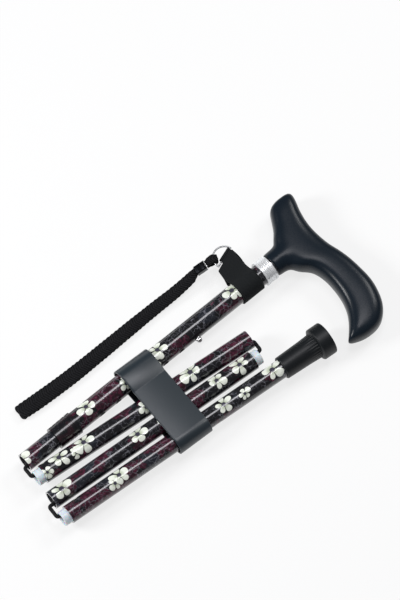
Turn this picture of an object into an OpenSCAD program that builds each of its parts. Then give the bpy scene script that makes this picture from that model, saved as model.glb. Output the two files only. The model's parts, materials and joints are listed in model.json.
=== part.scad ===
// Folding cane, folded flat with its clip on and its wrist strap beside it.
// Millimetres. X runs along the lowest section towards the handle side, Y from the lowest
// section to the handle section, and Z is up. The origin is under the middle of the folded
// cane, on the surface that it lies on.

/* [Node] */
// Node to show

/* [Tubes] */
// Outside diameter of the adjuster tube and of the three lower sections
lower_od = 16; // [14:0.1:18]
// Wall of those tubes
lower_wall = 1.2; // [0.8:0.1:1.6]
// Wall of the upper tube
upper_wall = 1.1; // [0.8:0.1:1.6]
// Running clearance of the adjuster tube in the upper tube
slide_clearance = 0.1; // [0.05:0.01:0.2]
// Length of the adjuster tube
adjuster_length = 200; // [190:1:215]
// Adjuster tube that shows below the lock collar
adjuster_shows = 31.8; // [26:0.1:38]
// Length of the second section
b_length = 205.6; // [185:0.1:225]
// Length of the third section
c_length = 204.1; // [185:0.1:225]
// Length of the lowest section
d_length = 251.6; // [225:0.1:275]

/* [Folded pack] */
// Low end of the adjuster tube on its axis, along X
a_end_x = -156.86;
// Low end of the adjuster tube on its axis, along Y
a_end_y = 6.75;
// Slant of the handle section
a_angle = 4.35; // [3:0.05:6]
// Slant of the second section
b_angle = -1.2; // [-2:0.05:0]
// Slant of the third section
c_angle = 0.4; // [0:0.05:1]
// Gap between the handle section and the second section at their folded end
gap_ab = 0.7; // [0.4:0.1:2]
// Gap between the second and third sections at their folded end
gap_bc = 0.6; // [0.4:0.1:2]
// Gap between the third and lowest sections at their folded end
gap_cd = 2.2; // [0.6:0.1:3]
// How far each fold turns beyond the end of the upper tube of its pair
pivot_out_ab = 0.9;
pivot_out_bc = -0.9;
pivot_out_cd = 1.7;

/* [Handle] */
// Rise of the handle above the collar
handle_rise = 55; // [50:0.5:60]
// Reach of the heel from the tube's axis
heel_reach = 39.2; // [35:0.2:43]
// Reach of the beak from the tube's axis
beak_reach = 98; // [90:0.5:106]
// Thickness of the handle
handle_thickness = 24; // [22:0.1:27]
// Diameter of the neck where it meets the collar
neck_diameter = 21.6; // [21:0.1:22.2]
// Length of the round neck
neck_length = 19; // [16:0.5:22]
// Depth of the tube in the handle
handle_socket = 18; // [14:0.5:20]
// Diameter of the stud that holds the handle
stud_diameter = 6; // [5:0.1:8]
// Length of the stud
stud_length = 30; // [24:1:34]
// Length of the plug in the top of the upper tube
plug_length = 34; // [30:1:40]
// Diameter of the cross pin under the collar
pin_diameter = 3; // [2:0.1:4]

/* [Collars] */
// Outside diameter of the bright collar
collar_diameter = 22.3; // [21.6:0.1:24]
// Length of the bright collar
collar_length = 10.5; // [8:0.1:13]
// Distance from the lock collar to the bright collar's far face
collar_place = 231.3; // [225:0.1:240]
// Outside diameter of the lock collar
lock_diameter = 20.6; // [20.2:0.1:22]
// Length of the lock collar
lock_length = 21.5; // [18:0.1:25]
// Lip of the lock collar round the adjuster tube
lock_lip = 2; // [1.5:0.1:3]
// Length of the collet inside the lock collar
collet_length = 6; // [4:0.1:8]
// Grooves round the lock collar
lock_grooves = 4; // [2:1:6]
// Depth of those grooves
lock_groove_depth = 0.5; // [0.2:0.05:0.6]
// Width of those grooves
lock_groove_width = 1.4; // [0.8:0.1:2]

/* [Height setting] */
// Distance of the snap button from the adjuster tube's low end
button_place = 177.5; // [172:0.5:182]
// Diameter of the snap button
button_diameter = 5; // [4:0.1:5.6]
// Diameter of the flange that keeps the button in
button_flange = 6.4; // [6:0.1:7]
// Thickness of that flange
button_flange_height = 0.7; // [0.5:0.05:1]
// Reach of the button's tip from the tube's axis
button_reach = 13.5; // [12:0.1:15]
// Height positions
hole_count = 7; // [3:1:7]
// Distance between height positions
hole_pitch = 17; // [14:0.5:17]
// Thickness of the leaf spring
leaf_thickness = 0.6; // [0.4:0.05:0.8]
// Width of the leaf spring
leaf_width = 6; // [4:0.1:6.4]
// Length of the leaf spring
leaf_length = 32; // [28:0.5:36]
// Length of the leaf's flat end under the button
leaf_tip = 6.4; // [5:0.1:8]
// Depth of the leaf's bend
leaf_bend = 1.8; // [1.2:0.1:2.4]

/* [Joints and cord] */
// Reach of each spigot out of its tube
spigot_reach = 6.5; // [5:0.1:8]
// Length of each spigot inside its tube
spigot_depth = 24; // [18:0.5:30]
// Bore of each spigot
spigot_bore = 10.2; // [9.6:0.1:10.6]
// Diameter of the elastic cord
cord_diameter = 3.2; // [2.8:0.1:4.2]
// Straight cord that belongs to each bend in its socket, beyond where the seated section's cord starts
bend_tail = 1; // [0.6:0.1:4]
// Gap between the crimped stop on the top anchor and the leaf spring
stop_gap = 2; // [1:0.5:8]
// Length of each cord anchor
anchor_length = 8; // [6:0.1:10]
// Distance of the lower anchor from the lowest tube's foot
anchor_inset = 26; // [22:0.5:30]
// Diameter of each crimped stop on the cord's ends
stop_diameter = 9; // [7.5:0.1:11]
// Length of each crimped stop
stop_length = 9; // [7:0.1:11]

/* [Ferrule] */
// Length of the ferrule
ferrule_length = 46.5; // [42:0.1:51]
// Diameter of its small end
ferrule_mouth = 19.8; // [19.2:0.1:22]
// Diameter of its waist
ferrule_waist = 21.6; // [20.6:0.1:23]
// Diameter of its base
ferrule_base = 28.5; // [27:0.1:30]
// Height of its base flange
ferrule_flange = 11.9; // [10:0.1:13]
// Height of the slope from its waist to that flange
ferrule_slope = 2.4; // [1.5:0.1:4]
// Depth of its bore
ferrule_bore = 38; // [34:0.1:39]
// Thickness of the steel washer in it
washer_thickness = 1.5; // [1:0.1:2]
// Depth of the rings in its sole
sole_groove_depth = 1.2; // [0.6:0.1:1.6]
// Width of the rings in its sole
sole_groove_width = 1.6; // [1:0.1:2]
// Rings in its sole
sole_grooves = 3; // [1:1:3]

/* [Clip] */
// Length of the clip along the pack
clip_length = 32.4; // [28:0.1:36]
// Distance of the clip's middle from the adjuster tube's low end, along X
clip_place = 120.7; // [114:0.1:126]
// Wall of the clip
clip_wall = 1.4; // [1:0.1:2]
// Clearance of the clip over the tubes
clip_clearance = 0.3; // [0.2:0.05:0.5]
// Reach of each lip under the tubes
clip_lip = 20; // [16:0.5:22]
// Distance of the crease in the clip's plate from the handle section's axis
clip_crease = 15; // [13:0.1:18]

/* [Wrist strap] */
// Distance of the strap band's middle from the bright collar
band_place = 14.9; // [13:0.1:18.6]
// Length of the band along the tube
band_length = 21; // [18:0.1:24]
// Thickness of the band's webbing
band_thickness = 1.4; // [1:0.1:1.8]
// Width of the band's tab
tab_width = 19.4; // [17:0.1:20.4]
// Swell of the tab's edge on the handle's side
tab_swell = 3; // [1:0.1:4]
// Where the tab's two layers meet, from the tube's axis
tab_join = 17; // [16:0.1:19]
// Reach of the tab's end from the tube's axis
tab_reach = 29.9; // [28:0.1:33]
// Turn of the tab's end towards the strap
tab_turn = 18.5; // [0:0.5:25]
// Wire of the ring
ring_wire = 1.5; // [1.2:0.1:2]
// Radius of the ring's bow
ring_bow = 9.6; // [9.2:0.1:10.4]
// Distance of the ring's middle from the tab's middle line
ring_shift = 3; // [2:0.1:3.4]
// Full width of the braided strap
strap_width = 12.6; // [10:0.1:13.6]
// Width of the braided strap in its loop on the ring
loop_width = 7.4; // [6.8:0.1:7.6]
// Width of the braided strap where it is gathered in its sleeve
strap_gathered = 6; // [5.4:0.1:6.6]
// Thickness of the braided strap
strap_thickness = 2.6; // [2.2:0.1:2.8]
// Gap between the strap's two layers
strap_gap = 0.7; // [0.6:0.1:1]
// Reach of the doubled strap from the ring
strap_run = 205; // [188:1:222]
// Distance of the crimped sleeve's middle from the ring's wire
sleeve_place = 12; // [11.5:0.1:14]
// Length of the crimped sleeve on the strap
sleeve_length = 10; // [8:0.1:12]
// Wall of that sleeve
sleeve_wall = 0.7; // [0.5:0.1:1.2]

/* [Hidden] */
$fn = 96;
handle_black = "#2b3036";
print_dark = "#241c28";
cord_black = "#1a1a1c";
rubber_black = "#202327";
clip_grey = "#4a5158";
webbing_black = "#141416";
braid_black = "#17171a";
overrun = 1;
fit_clearance = 0.05;
turn_clearance = 0.1;
nose_clearance = 0.2;
seat_clearance = 0.3;
foot_clearance = 3;
hole_clearance = 0.25;
cord_clearance = 0.1;
cord_gap = 0.1;
bend_clearance = 0.2;
ring_clearance = 0.3;
strap_clearance = 0.3;
edge_chamfer = 0.6;
collar_edge_share = 0.2;
collar_step_share = 0.3;
mouth_chamfer = 2;
mouth_wall = 0.4;
hang_turn = 45;
sleeve_heading = 176;
sleeve_slope = 11;
d_angle = 0;

axis_height = ferrule_base / 2;
lower_id = lower_od - 2 * lower_wall;
upper_id = lower_od + 2 * slide_clearance;
upper_od = upper_id + 2 * upper_wall;
cord_radius = cord_diameter / 2;
cord_offset = spigot_bore / 2 - cord_radius - cord_clearance;
seat_travel = spigot_reach + seat_clearance;
upper_low = adjuster_shows + lock_lip + collet_length;

function dir(angle) = [cos(angle), sin(angle)];
function side(angle) = [-sin(angle), cos(angle)];
function raised(point) = [point[0], point[1], axis_height];

// Where each section starts and ends, and where each fold turns
a_end = [a_end_x, a_end_y];
half_ab = (lower_od + gap_ab) / 2;
fold_ab = a_end - pivot_out_ab * dir(a_angle) - half_ab * side(a_angle);
b_start = fold_ab - half_ab * side(b_angle) + (seat_travel - pivot_out_ab) * dir(b_angle);
b_end = b_start + b_length * dir(b_angle);
half_bc = (lower_od + gap_bc) / 2;
fold_bc = b_end + pivot_out_bc * dir(b_angle) - half_bc * side(b_angle);
c_start = fold_bc - half_bc * side(c_angle) - (seat_travel - pivot_out_bc) * dir(c_angle);
c_end = c_start - c_length * dir(c_angle);
half_cd = (lower_od + gap_cd) / 2;
fold_cd = c_end - pivot_out_cd * dir(c_angle) - half_cd * side(c_angle);
d_start = fold_cd - half_cd * side(d_angle) + (seat_travel - pivot_out_cd) * dir(d_angle);
d_end = d_start + d_length * dir(d_angle);
foot_end = d_end + (ferrule_length - ferrule_bore + washer_thickness) * dir(d_angle);

// Middle and half width of the cord's bend at each fold: it turns where both mouths end
function bend_start(pivot_out) = max(-pivot_out, pivot_out - seat_clearance);
function tail_length(pivot_out) = 2 * bend_start(pivot_out) + seat_travel + bend_tail;

bend_ab = fold_ab - bend_start(pivot_out_ab) * dir((a_angle + b_angle) / 2);
bend_bc = fold_bc + bend_start(pivot_out_bc) * dir((b_angle + c_angle) / 2);
bend_cd = fold_cd - bend_start(pivot_out_cd) * dir((c_angle + d_angle) / 2);
bend_half_ab = half_ab - cord_offset;
bend_half_bc = half_bc - cord_offset;
bend_half_cd = half_cd - cord_offset;

// Runs what follows along a tube: local Z along it, local Y to its side and local X down
module along(point, angle, start = 0)
{
    translate(raised(point))
    rotate([0, 0, angle])
    translate([start, 0, 0])
    rotate([0, 90, 0])
    children();
}

module on_handle_section(start = 0)
{
    along(a_end, a_angle, start)
    children();
}

module tube(length, outside, inside)
{
    difference()
    {
        cylinder(d = outside, h = length);
        translate([0, 0, -overrun])
        cylinder(d = inside, h = length + 2 * overrun);
    }
}

module rod_between(start, finish, diameter)
{
    run = finish - start;
    along(start, atan2(run[1], run[0]))
    cylinder(d = diameter, h = norm(run));
}

function unit(v) = v / norm(v);

// A tube of one outline per point of a path, with the outline's first axis kept near a level one
module swept(path, outlines, levels)
{
    last = len(path) - 1;
    sides = len(outlines[0]);
    points = [for (i = [0 : last])
        let (ahead = unit(path[min(i + 1, last)] - path[max(i - 1, 0)]),
            across = unit(cross(levels[i], ahead)),
            wide = cross(ahead, across))
        for (place = outlines[i]) path[i] + place[0] * wide + place[1] * across];
    skin(points, sides);
}

// A closed skin over rings of points, each ring with the same number of sides
module skin(points, sides)
{
    last = len(points) / sides - 1;
    first_cap = [for (k = [0 : sides - 1]) sides - 1 - k];
    last_cap = [for (k = [0 : sides - 1]) sides * last + k];
    walls = [for (i = [0 : last - 1], k = [0 : sides - 1], half = [0, 1])
        let (a = sides * i + k, b = sides * i + (k + 1) % sides)
        half == 0 ? [a, b, a + sides] : [b, b + sides, a + sides]];
    polyhedron(points = points, faces = concat([first_cap, last_cap], walls), convexity = 6);
}

// Handle: cross sections from heel to beak, each between a point on its top and one below.
// Shares of the rise and reach of the top point, of the lower point, and of the thickness.
grip_shares = [
    [0.87, 1.0, 0.745, 1.0, 0.36], [0.96, 0.975, 0.65, 0.985, 0.72],
    [0.995, 0.905, 0.565, 0.92, 0.92], [0.97, 0.74, 0.50, 0.77, 1.0],
    [0.912, 0.50, 0.40, 0.54, 1.0], [0.872, 0.21, 0.255, 0.30, 1.0],
    [0.867, -0.03, 0.18, 0.0, 1.0], [0.893, -0.165, 0.255, -0.155, 1.0],
    [0.945, -0.28, 0.418, -0.245, 1.0], [0.984, -0.40, 0.487, -0.37, 1.0],
    [1.0, -0.53, 0.487, -0.52, 1.0], [1.0, -0.645, 0.445, -0.648, 1.0],
    [0.955, -0.765, 0.373, -0.745, 0.99], [0.873, -0.872, 0.282, -0.82, 0.97],
    [0.745, -0.953, 0.191, -0.878, 0.91], [0.59, -0.996, 0.127, -0.915, 0.79],
    [0.364, -0.999, 0.091, -0.934, 0.56], [0.164, -0.967, 0.084, -0.943, 0.22]
];
grip_steps = 3;
grip_sides = 36;
grip_squareness = 3;

// The collar sits where it is set, or further up if the folded foot would meet the beak there
beak_tip = grip_shares[len(grip_shares) - 1][2] * handle_rise;
foot_reach = (foot_end - a_end) * dir(a_angle);
collar_face = max(adjuster_shows + collar_place, foot_reach + foot_clearance - beak_tip);

function reach(share) = share * (share > 0 ? heel_reach : beak_reach);

function station(shares) = [shares[0] * handle_rise, reach(shares[1]), shares[2] * handle_rise,
    reach(shares[3]), shares[4] * handle_thickness / 2];

function curve_at(before, from, to, after, u) =
    from + u * ((to - before) / 2
    + u * ((2 * before - 5 * from + 4 * to - after) / 2
    + u * (3 * from - before - 3 * to + after) / 2));

function squared(part) = sign(part) * pow(abs(part), 2 / grip_squareness);

function on_cut(cut, turn) =
    let (top = [cut[0], cut[1]], low = [cut[2], cut[3]],
        place = (top + low) / 2 + squared(cos(turn)) * (top - low) / 2)
    [cut[4] * squared(sin(turn)), place[1], place[0]];

module handle_grip()
{
    rough = [for (shares = grip_shares) station(shares)];
    last = len(rough) - 1;
    smooth = [for (i = [0 : grip_steps * last])
        let (k = min(floor(i / grip_steps), last - 1))
        curve_at(rough[max(k - 1, 0)], rough[k], rough[k + 1], rough[min(k + 2, last)],
            i / grip_steps - k)];
    points = [for (cut = smooth, k = [0 : grip_sides - 1]) on_cut(cut, 360 * k / grip_sides)];
    skin(points, grip_sides);
}

module handle()
{
    color(handle_black)
    on_handle_section(collar_face)
    difference()
    {
        union()
        {
            handle_grip();
            cylinder(d1 = neck_diameter, d2 = handle_thickness - edge_chamfer, h = neck_length);
        }
        translate([0, 0, -overrun])
        cylinder(d = upper_od + 2 * fit_clearance, h = handle_socket + overrun);
        cylinder(d = stud_diameter + 2 * fit_clearance, h = handle_socket + stud_length / 2);
    }
}

module handle_stud()
{
    color("silver")
    on_handle_section(collar_face + handle_socket - stud_length / 2)
    cylinder(d = stud_diameter, h = stud_length);
}

module handle_plug()
{
    color("dimgray")
    on_handle_section(collar_face + handle_socket - plug_length)
    difference()
    {
        cylinder(d = upper_id - 2 * fit_clearance, h = plug_length);
        translate([0, 0, plug_length - stud_length / 2])
        cylinder(d = stud_diameter + 2 * fit_clearance, h = stud_length);
        translate([0, 0, plug_length - handle_socket - collar_length / 2])
        pin_hole();
    }
}

module pin_hole()
{
    rotate([0, 90, 0])
    cylinder(d = pin_diameter + 2 * fit_clearance, h = upper_od + 2 * overrun, center = true);
}

module handle_pin()
{
    color("silver")
    on_handle_section(collar_face - collar_length / 2)
    rotate([0, 90, 0])
    cylinder(d = pin_diameter, h = upper_od - upper_wall, center = true);
}

// Bright collar with a plain middle between two rolled edges
module collar()
{
    bore = upper_od / 2 + fit_clearance;
    edge = collar_diameter / 2;
    band = collar_length * collar_edge_share;
    step = (edge - bore) * collar_step_share;
    color("lightgray")
    on_handle_section(collar_face - collar_length)
    rotate_extrude()
    polygon([
        [bore, 0], [edge - step, 0], [edge, step], [edge, band - step], [edge - step, band],
        [edge - step, collar_length - band], [edge, collar_length - band + step],
        [edge, collar_length - step], [edge - step, collar_length], [bore, collar_length]
    ]);
}

// Upper tube, with the holes of the height setting on the side that faces the pack
module upper_tube()
{
    color(print_dark)
    on_handle_section(upper_low)
    difference()
    {
        tube(collar_face + handle_socket - upper_low, upper_od, upper_id);
        translate([0, 0, button_place - upper_low])
        for (position = [0 : hole_count - 1])
            translate([0, 0, -position * hole_pitch])
            rotate([90, 0, 0])
            cylinder(d = button_diameter + 2 * hole_clearance, h = upper_od);
        translate([0, 0, collar_face - collar_length / 2 - upper_low])
        pin_hole();
    }
}

module lock_collar()
{
    bore = upper_od / 2 + turn_clearance;
    edge = lock_diameter / 2;
    pitch = lock_length / (lock_grooves + 1);
    color(print_dark)
    on_handle_section(adjuster_shows)
    difference()
    {
        cylinder(r1 = edge - lock_groove_depth, r2 = edge, h = lock_length);
        translate([0, 0, lock_lip])
        cylinder(r = bore, h = lock_length);
        translate([0, 0, -overrun])
        cylinder(d = lower_od + 2 * turn_clearance, h = lock_lip + 2 * overrun);
        for (groove = [1 : lock_grooves])
            translate([0, 0, groove * pitch - lock_groove_width / 2])
            tube(lock_groove_width, lock_diameter + overrun, lock_diameter - 2 * lock_groove_depth);
    }
}

module collet()
{
    color("dimgray")
    on_handle_section(adjuster_shows + lock_lip)
    tube(collet_length, upper_od, lower_od + 2 * turn_clearance);
}

module adjuster_tube()
{
    color(print_dark)
    on_handle_section()
    difference()
    {
        tube(adjuster_length, lower_od, lower_id);
        translate([0, 0, button_place])
        rotate([90, 0, 0])
        cylinder(d = button_diameter + 2 * hole_clearance, h = lower_od);
    }
}

// Snap button on its leaf: a flange inside the adjuster tube and a domed stem through both tubes
flange_top = sqrt(pow(lower_id / 2, 2) - pow(button_flange / 2, 2)) - hole_clearance / 2;

module button()
{
    color("silver")
    on_handle_section(button_place)
    rotate([90, 0, 0])
    {
        translate([0, 0, flange_top - button_flange_height])
        cylinder(d = button_flange, h = button_flange_height);
        translate([0, 0, flange_top - button_flange_height])
        cylinder(d = button_diameter, h = button_reach - button_diameter / 2 - flange_top
            + button_flange_height);
        translate([0, 0, button_reach - button_diameter / 2])
        sphere(d = button_diameter);
    }
}

module leaf_spring()
{
    spread = flange_top - button_flange_height - fit_clearance - leaf_thickness / 2;
    half = leaf_thickness / 2;
    color("silver")
    on_handle_section(button_place + leaf_tip / 2)
    rotate([0, -90, 0])
    linear_extrude(height = leaf_width, center = true)
    polygon([
        [0, -spread - half], [0, -spread + half], [leaf_bend - leaf_length, 0],
        [0, spread - half], [0, spread + half], [-leaf_tip, spread + half],
        [-leaf_length, leaf_thickness], [-leaf_length, -leaf_thickness],
        [-leaf_tip, -spread - half]
    ]);
}

module section_tube(point, angle, length)
{
    along(point, angle)
    tube(length, lower_od, lower_id);
}

module tube_b()
{
    color(print_dark)
    section_tube(b_start, b_angle, b_length);
}

module tube_c()
{
    color(print_dark)
    section_tube(c_start, c_angle + 180, c_length);
}

module tube_d()
{
    color(print_dark)
    section_tube(d_start, d_angle, d_length);
}

// White spigot: a plug in its own tube, and a nose with an eased mouth that enters the next one
module spigot(point, angle)
{
    nose = lower_id / 2 - nose_clearance;
    body = lower_id / 2 - fit_clearance;
    bore = spigot_bore / 2;
    along(point, angle)
    rotate_extrude()
    polygon([
        [bore, spigot_depth], [bore, mouth_chamfer - spigot_reach],
        [nose - edge_chamfer - mouth_wall, -spigot_reach], [nose - edge_chamfer, -spigot_reach],
        [nose, edge_chamfer - spigot_reach], [nose, 0], [body, 0], [body, spigot_depth]
    ]);
}

module spigot_b()
{
    color("aliceblue")
    spigot(b_start, b_angle);
}

module spigot_c()
{
    color("aliceblue")
    spigot(c_start, c_angle + 180);
}

module spigot_d()
{
    color("aliceblue")
    spigot(d_start, d_angle);
}

// Elastic cord: a bend at each fold, with its tail in the open socket, and a run in each tube
bend_steps = 10;
cord_sides = 16;
bend_corner = cord_radius + bend_clearance;

// One of a bend's two corners, about its own middle
function corner(middle, from, sweep) =
    [for (step = [0 : bend_steps]) middle + bend_corner * side(from + sweep * step / bend_steps)];

module cord_bend(middle, half, pivot_out, tail_angle, tail_turn, sweep)
{
    tail = tail_length(pivot_out) * dir(tail_angle + tail_turn);
    inner = half - bend_corner;
    turn = concat(corner(inner * side(tail_angle), tail_angle, sweep / 2),
        corner(inner * side(tail_angle + sweep), tail_angle + sweep / 2, sweep / 2));
    finish = half * side(tail_angle + sweep) - sign(sweep) * cord_gap * dir(tail_angle + sweep);
    path = [for (place = concat([turn[0] + tail], turn, [finish])) raised(middle + place)];
    round = [for (k = [0 : cord_sides - 1]) cord_radius * dir(360 * k / cord_sides)];
    swept(path, [for (place = path) round], [for (place = path) [0, 0, 1]]);
}

module cord_bend_1()
{
    color(cord_black)
    cord_bend(bend_ab, bend_half_ab, pivot_out_ab, a_angle, 0, 180 + b_angle - a_angle);
}

module cord_bend_2()
{
    color(cord_black)
    cord_bend(bend_bc, bend_half_bc, pivot_out_bc, b_angle, 180, c_angle - b_angle - 180);
}

module cord_bend_3()
{
    color(cord_black)
    cord_bend(bend_cd, bend_half_cd, pivot_out_cd, c_angle, 0, 180 + d_angle - c_angle);
}

function past_tail(pivot_out) = tail_length(pivot_out) + cord_gap;

anchor_place = button_place + leaf_tip / 2 - leaf_length - stop_gap - stop_length - anchor_length;
cord_a_start = bend_ab + bend_half_ab * side(a_angle) + past_tail(pivot_out_ab) * dir(a_angle);
cord_a_stop = a_end + (anchor_place + anchor_length + stop_length / 2) * dir(a_angle);
cord_b_start = bend_ab - bend_half_ab * side(b_angle) + 2 * cord_gap * dir(b_angle);
cord_b_stop = bend_bc + bend_half_bc * side(b_angle) - past_tail(pivot_out_bc) * dir(b_angle);
cord_c_start = bend_bc - bend_half_bc * side(c_angle) - 2 * cord_gap * dir(c_angle);
cord_c_stop = bend_cd + bend_half_cd * side(c_angle) + past_tail(pivot_out_cd) * dir(c_angle);
cord_d_start = bend_cd - bend_half_cd * side(d_angle) + 2 * cord_gap * dir(d_angle);
cord_d_stop = d_end - (anchor_inset - anchor_length - stop_length / 2) * dir(d_angle);

module cord_a()
{
    color(cord_black)
    rod_between(cord_a_start, cord_a_stop, cord_diameter);
}

module cord_b()
{
    color(cord_black)
    rod_between(cord_b_start, cord_b_stop, cord_diameter);
}

module cord_c()
{
    color(cord_black)
    rod_between(cord_c_start, cord_c_stop, cord_diameter);
}

module cord_d()
{
    color(cord_black)
    rod_between(cord_d_start, cord_d_stop, cord_diameter);
}

// Anchors across the tubes, and the crimped stops that hold the cord's ends against them
anchor_hole = cord_diameter + 8 * cord_clearance;

module anchor()
{
    tube(anchor_length, lower_id - 2 * fit_clearance, anchor_hole);
}

module crimped_stop()
{
    difference()
    {
        cylinder(d = stop_diameter, h = stop_length);
        translate([0, 0, -overrun])
        cylinder(d = anchor_hole, h = stop_length / 2 + 2 * cord_gap + overrun);
    }
}

module anchor_top()
{
    color("dimgray")
    on_handle_section(anchor_place)
    anchor();
}

module stop_top()
{
    color("silver")
    on_handle_section(anchor_place + anchor_length)
    crimped_stop();
}

module anchor_low()
{
    color("dimgray")
    along(d_start, d_angle, d_length - anchor_inset)
    anchor();
}

module stop_low()
{
    color("silver")
    along(d_start, d_angle, d_length - anchor_inset + anchor_length)
    crimped_stop();
}

// Ferrule on the foot of the lowest tube, with a steel washer under the tube's end
ferrule_start = d_length - ferrule_bore + washer_thickness;

module ferrule()
{
    waist = ferrule_length - ferrule_flange - ferrule_slope;
    flange = waist + ferrule_slope;
    ring_pitch = ferrule_base / 2 / (sole_grooves + 1);
    color(rubber_black)
    along(d_start, d_angle, ferrule_start)
    difference()
    {
        rotate_extrude()
        polygon([
            [0, 0], [ferrule_mouth / 2 - edge_chamfer, 0], [ferrule_mouth / 2, edge_chamfer],
            [ferrule_waist / 2, waist], [ferrule_base / 2 - edge_chamfer, flange],
            [ferrule_base / 2, flange + edge_chamfer],
            [ferrule_base / 2, ferrule_length - edge_chamfer],
            [ferrule_base / 2 - edge_chamfer, ferrule_length], [0, ferrule_length]
        ]);
        translate([0, 0, -overrun])
        cylinder(d = lower_od + 2 * fit_clearance, h = ferrule_bore + overrun);
        for (ring = [1 : sole_grooves])
            translate([0, 0, ferrule_length - sole_groove_depth])
            tube(sole_groove_depth + overrun, 2 * ring * ring_pitch + sole_groove_width,
                2 * ring * ring_pitch - sole_groove_width);
    }
}

module ferrule_washer()
{
    color("silver")
    along(d_start, d_angle, d_length)
    cylinder(d = lower_od, h = washer_thickness);
}

// Springy clip over the four sections, open along the back
clip_angle = (a_angle + d_angle) / 2;
clip_a_y = a_end[1] + clip_place * tan(a_angle);
clip_d_y = d_start[1];
clip_slack = clip_length / 2 * tan(a_angle / 2) + clip_clearance;
a_inner = upper_od / 2 + clip_clearance;
d_inner = lower_od / 2 + clip_clearance;

module clip_profile(wall)
{
    a_radius = a_inner + wall;
    d_radius = d_inner + wall;
    crease = -clip_crease;
    foot = clip_d_y - clip_a_y - clip_slack;
    translate([0, clip_slack])
    circle(r = a_radius);
    translate([0, foot])
    circle(r = d_radius);
    polygon([
        [-a_radius, clip_slack], [-a_radius, 0], [-d_radius, crease], [-d_radius, foot],
        [d_radius, foot], [d_radius, crease], [a_radius, 0], [a_radius, clip_slack]
    ]);
}

module clip()
{
    span = clip_a_y - clip_d_y;
    color(clip_grey)
    translate([a_end[0] + clip_place, clip_a_y, axis_height])
    rotate([0, 0, clip_angle])
    rotate([0, 90, 0])
    linear_extrude(height = clip_length, center = true)
    difference()
    {
        clip_profile(clip_wall);
        clip_profile(0);
        translate([0, clip_lip - span])
        square([a_inner + clip_wall + overrun, span - 2 * clip_lip]);
    }
}

// Webbing band round the upper tube, with a tab that holds the ring
band_at = collar_face - collar_length - band_place;
band_radius = upper_od / 2 + turn_clearance + band_thickness;
join_turn = atan2(band_thickness, tab_join)
    + acos(band_radius / norm([tab_join, band_thickness]));
tab_loop = ring_wire / 2 + ring_clearance + band_thickness;
bar_at = a_end + band_at * dir(a_angle) + tab_reach * side(a_angle)
    + ring_shift * dir(a_angle + tab_turn);

// The strap hangs on the ring's bow in a loop that clears the wire's own bend
bow_sag = ring_bow - sqrt(pow(ring_bow, 2) - pow(loop_width / 2, 2));
loop_radius = ring_wire / 2 + bow_sag + strap_clearance + strap_thickness / 2;
loop_inside = ring_bow - loop_radius - strap_thickness / 2 - strap_clearance;
tab_end = (loop_inside - tab_loop * sin(hang_turn)) / cos(hang_turn);
bar_free = ring_bow - ring_wire / 2 - ring_clearance;
swell_shares = [0.45, 0.97];

module on_bar()
{
    along(bar_at, a_angle + tab_turn)
    children();
}

module tab_plate()
{
    middle = [0, tab_reach];
    bar = middle + ring_shift * dir(tab_turn);
    brink = (tab_loop + ring_clearance) * side(tab_turn);
    far = bar + bar_free * dir(tab_turn);
    near = bar - tab_end * dir(tab_turn);
    swollen = [for (share = swell_shares)
        [tab_width / 2 + tab_swell, tab_join + share * (tab_reach - tab_join)]];
    rotate([0, -90, 0])
    linear_extrude(height = 2 * band_thickness, center = true)
    polygon(concat([[-tab_width / 2, tab_join], [tab_width / 2, tab_join]], swollen,
        [far - (ring_wire / 2 + ring_clearance) * side(tab_turn), far, near, near - brink,
            middle - brink - tab_width / 2 * dir(tab_turn)]));
}

// The webbing's turn round the ring's bar, or the hole that it leaves for the bar
module round_bar(radius, over)
{
    on_bar()
    translate([0, 0, -tab_end - over])
    cylinder(r = radius, h = tab_end + bar_free + 2 * over);
}

module strap_band()
{
    color(webbing_black)
    difference()
    {
        union()
        {
            on_handle_section(band_at)
            {
                cylinder(r = band_radius, h = band_length, center = true);
                linear_extrude(height = tab_width, center = true)
                polygon([
                    [0, 0], band_radius * [sin(join_turn), cos(join_turn)],
                    [band_thickness, tab_join], [-band_thickness, tab_join],
                    band_radius * [-sin(join_turn), cos(join_turn)]
                ]);
                tab_plate();
            }
            round_bar(tab_loop, 0);
        }
        on_handle_section(band_at)
        cylinder(r = band_radius - band_thickness, h = band_length + overrun, center = true);
        round_bar(ring_wire / 2 + ring_clearance, overrun);
    }
}

module strap_ring()
{
    color("lightgray")
    on_bar()
    {
        cylinder(d = ring_wire, h = 2 * ring_bow, center = true);
        rotate([0, 90, 0])
        rotate_extrude(angle = 180)
        translate([ring_bow, 0])
        circle(d = ring_wire);
        for (end = [-1, 1])
            translate([0, 0, end * ring_bow])
            sphere(d = ring_wire);
    }
}

// Braided strap: in at the sleeve, round the ring's bow, and out and back in two layers.
// The run's shares are of its reach outwards and sideways, of the drop from the ring, and of
// the strap's full width.
run_shares = [
    [0.117, 0.0047, 0.57, 0.62], [0.154, 0.001, 0.42, 0.65], [0.204, -0.004, 0.255, 0.69],
    [0.263, -0.0075, 0.12, 0.75], [0.332, -0.0128, 0.025, 0.79], [0.436, -0.0215, 0, 0.87],
    [0.592, -0.0366, 0, 0.92], [0.748, -0.0487, 0, 0.97], [0.904, -0.054, 0, 1],
    [0.989, -0.0555, 0, 1]
];
loop_start = 75;
loop_steps = 7;
fold_turns = [45, 90, 135];
bevel_turn = 22.5;
loop_heading = a_angle + tab_turn + 180 - hang_turn;
hang_at = bar_at + ring_bow * dir(loop_heading);
layer_half = (strap_thickness + strap_gap) / 2;
run_level = strap_clearance + strap_thickness / 2 + layer_half;
sleeve_near = sleeve_place - sleeve_length / 2;
sleeve_far = sleeve_place + sleeve_length / 2;

function hung(out, up, heading) =
    raised(hang_at + (out * cos(sleeve_slope) + up * sin(sleeve_slope)) * dir(heading))
    + [0, 0, up * cos(sleeve_slope) - out * sin(sleeve_slope)];

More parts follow.
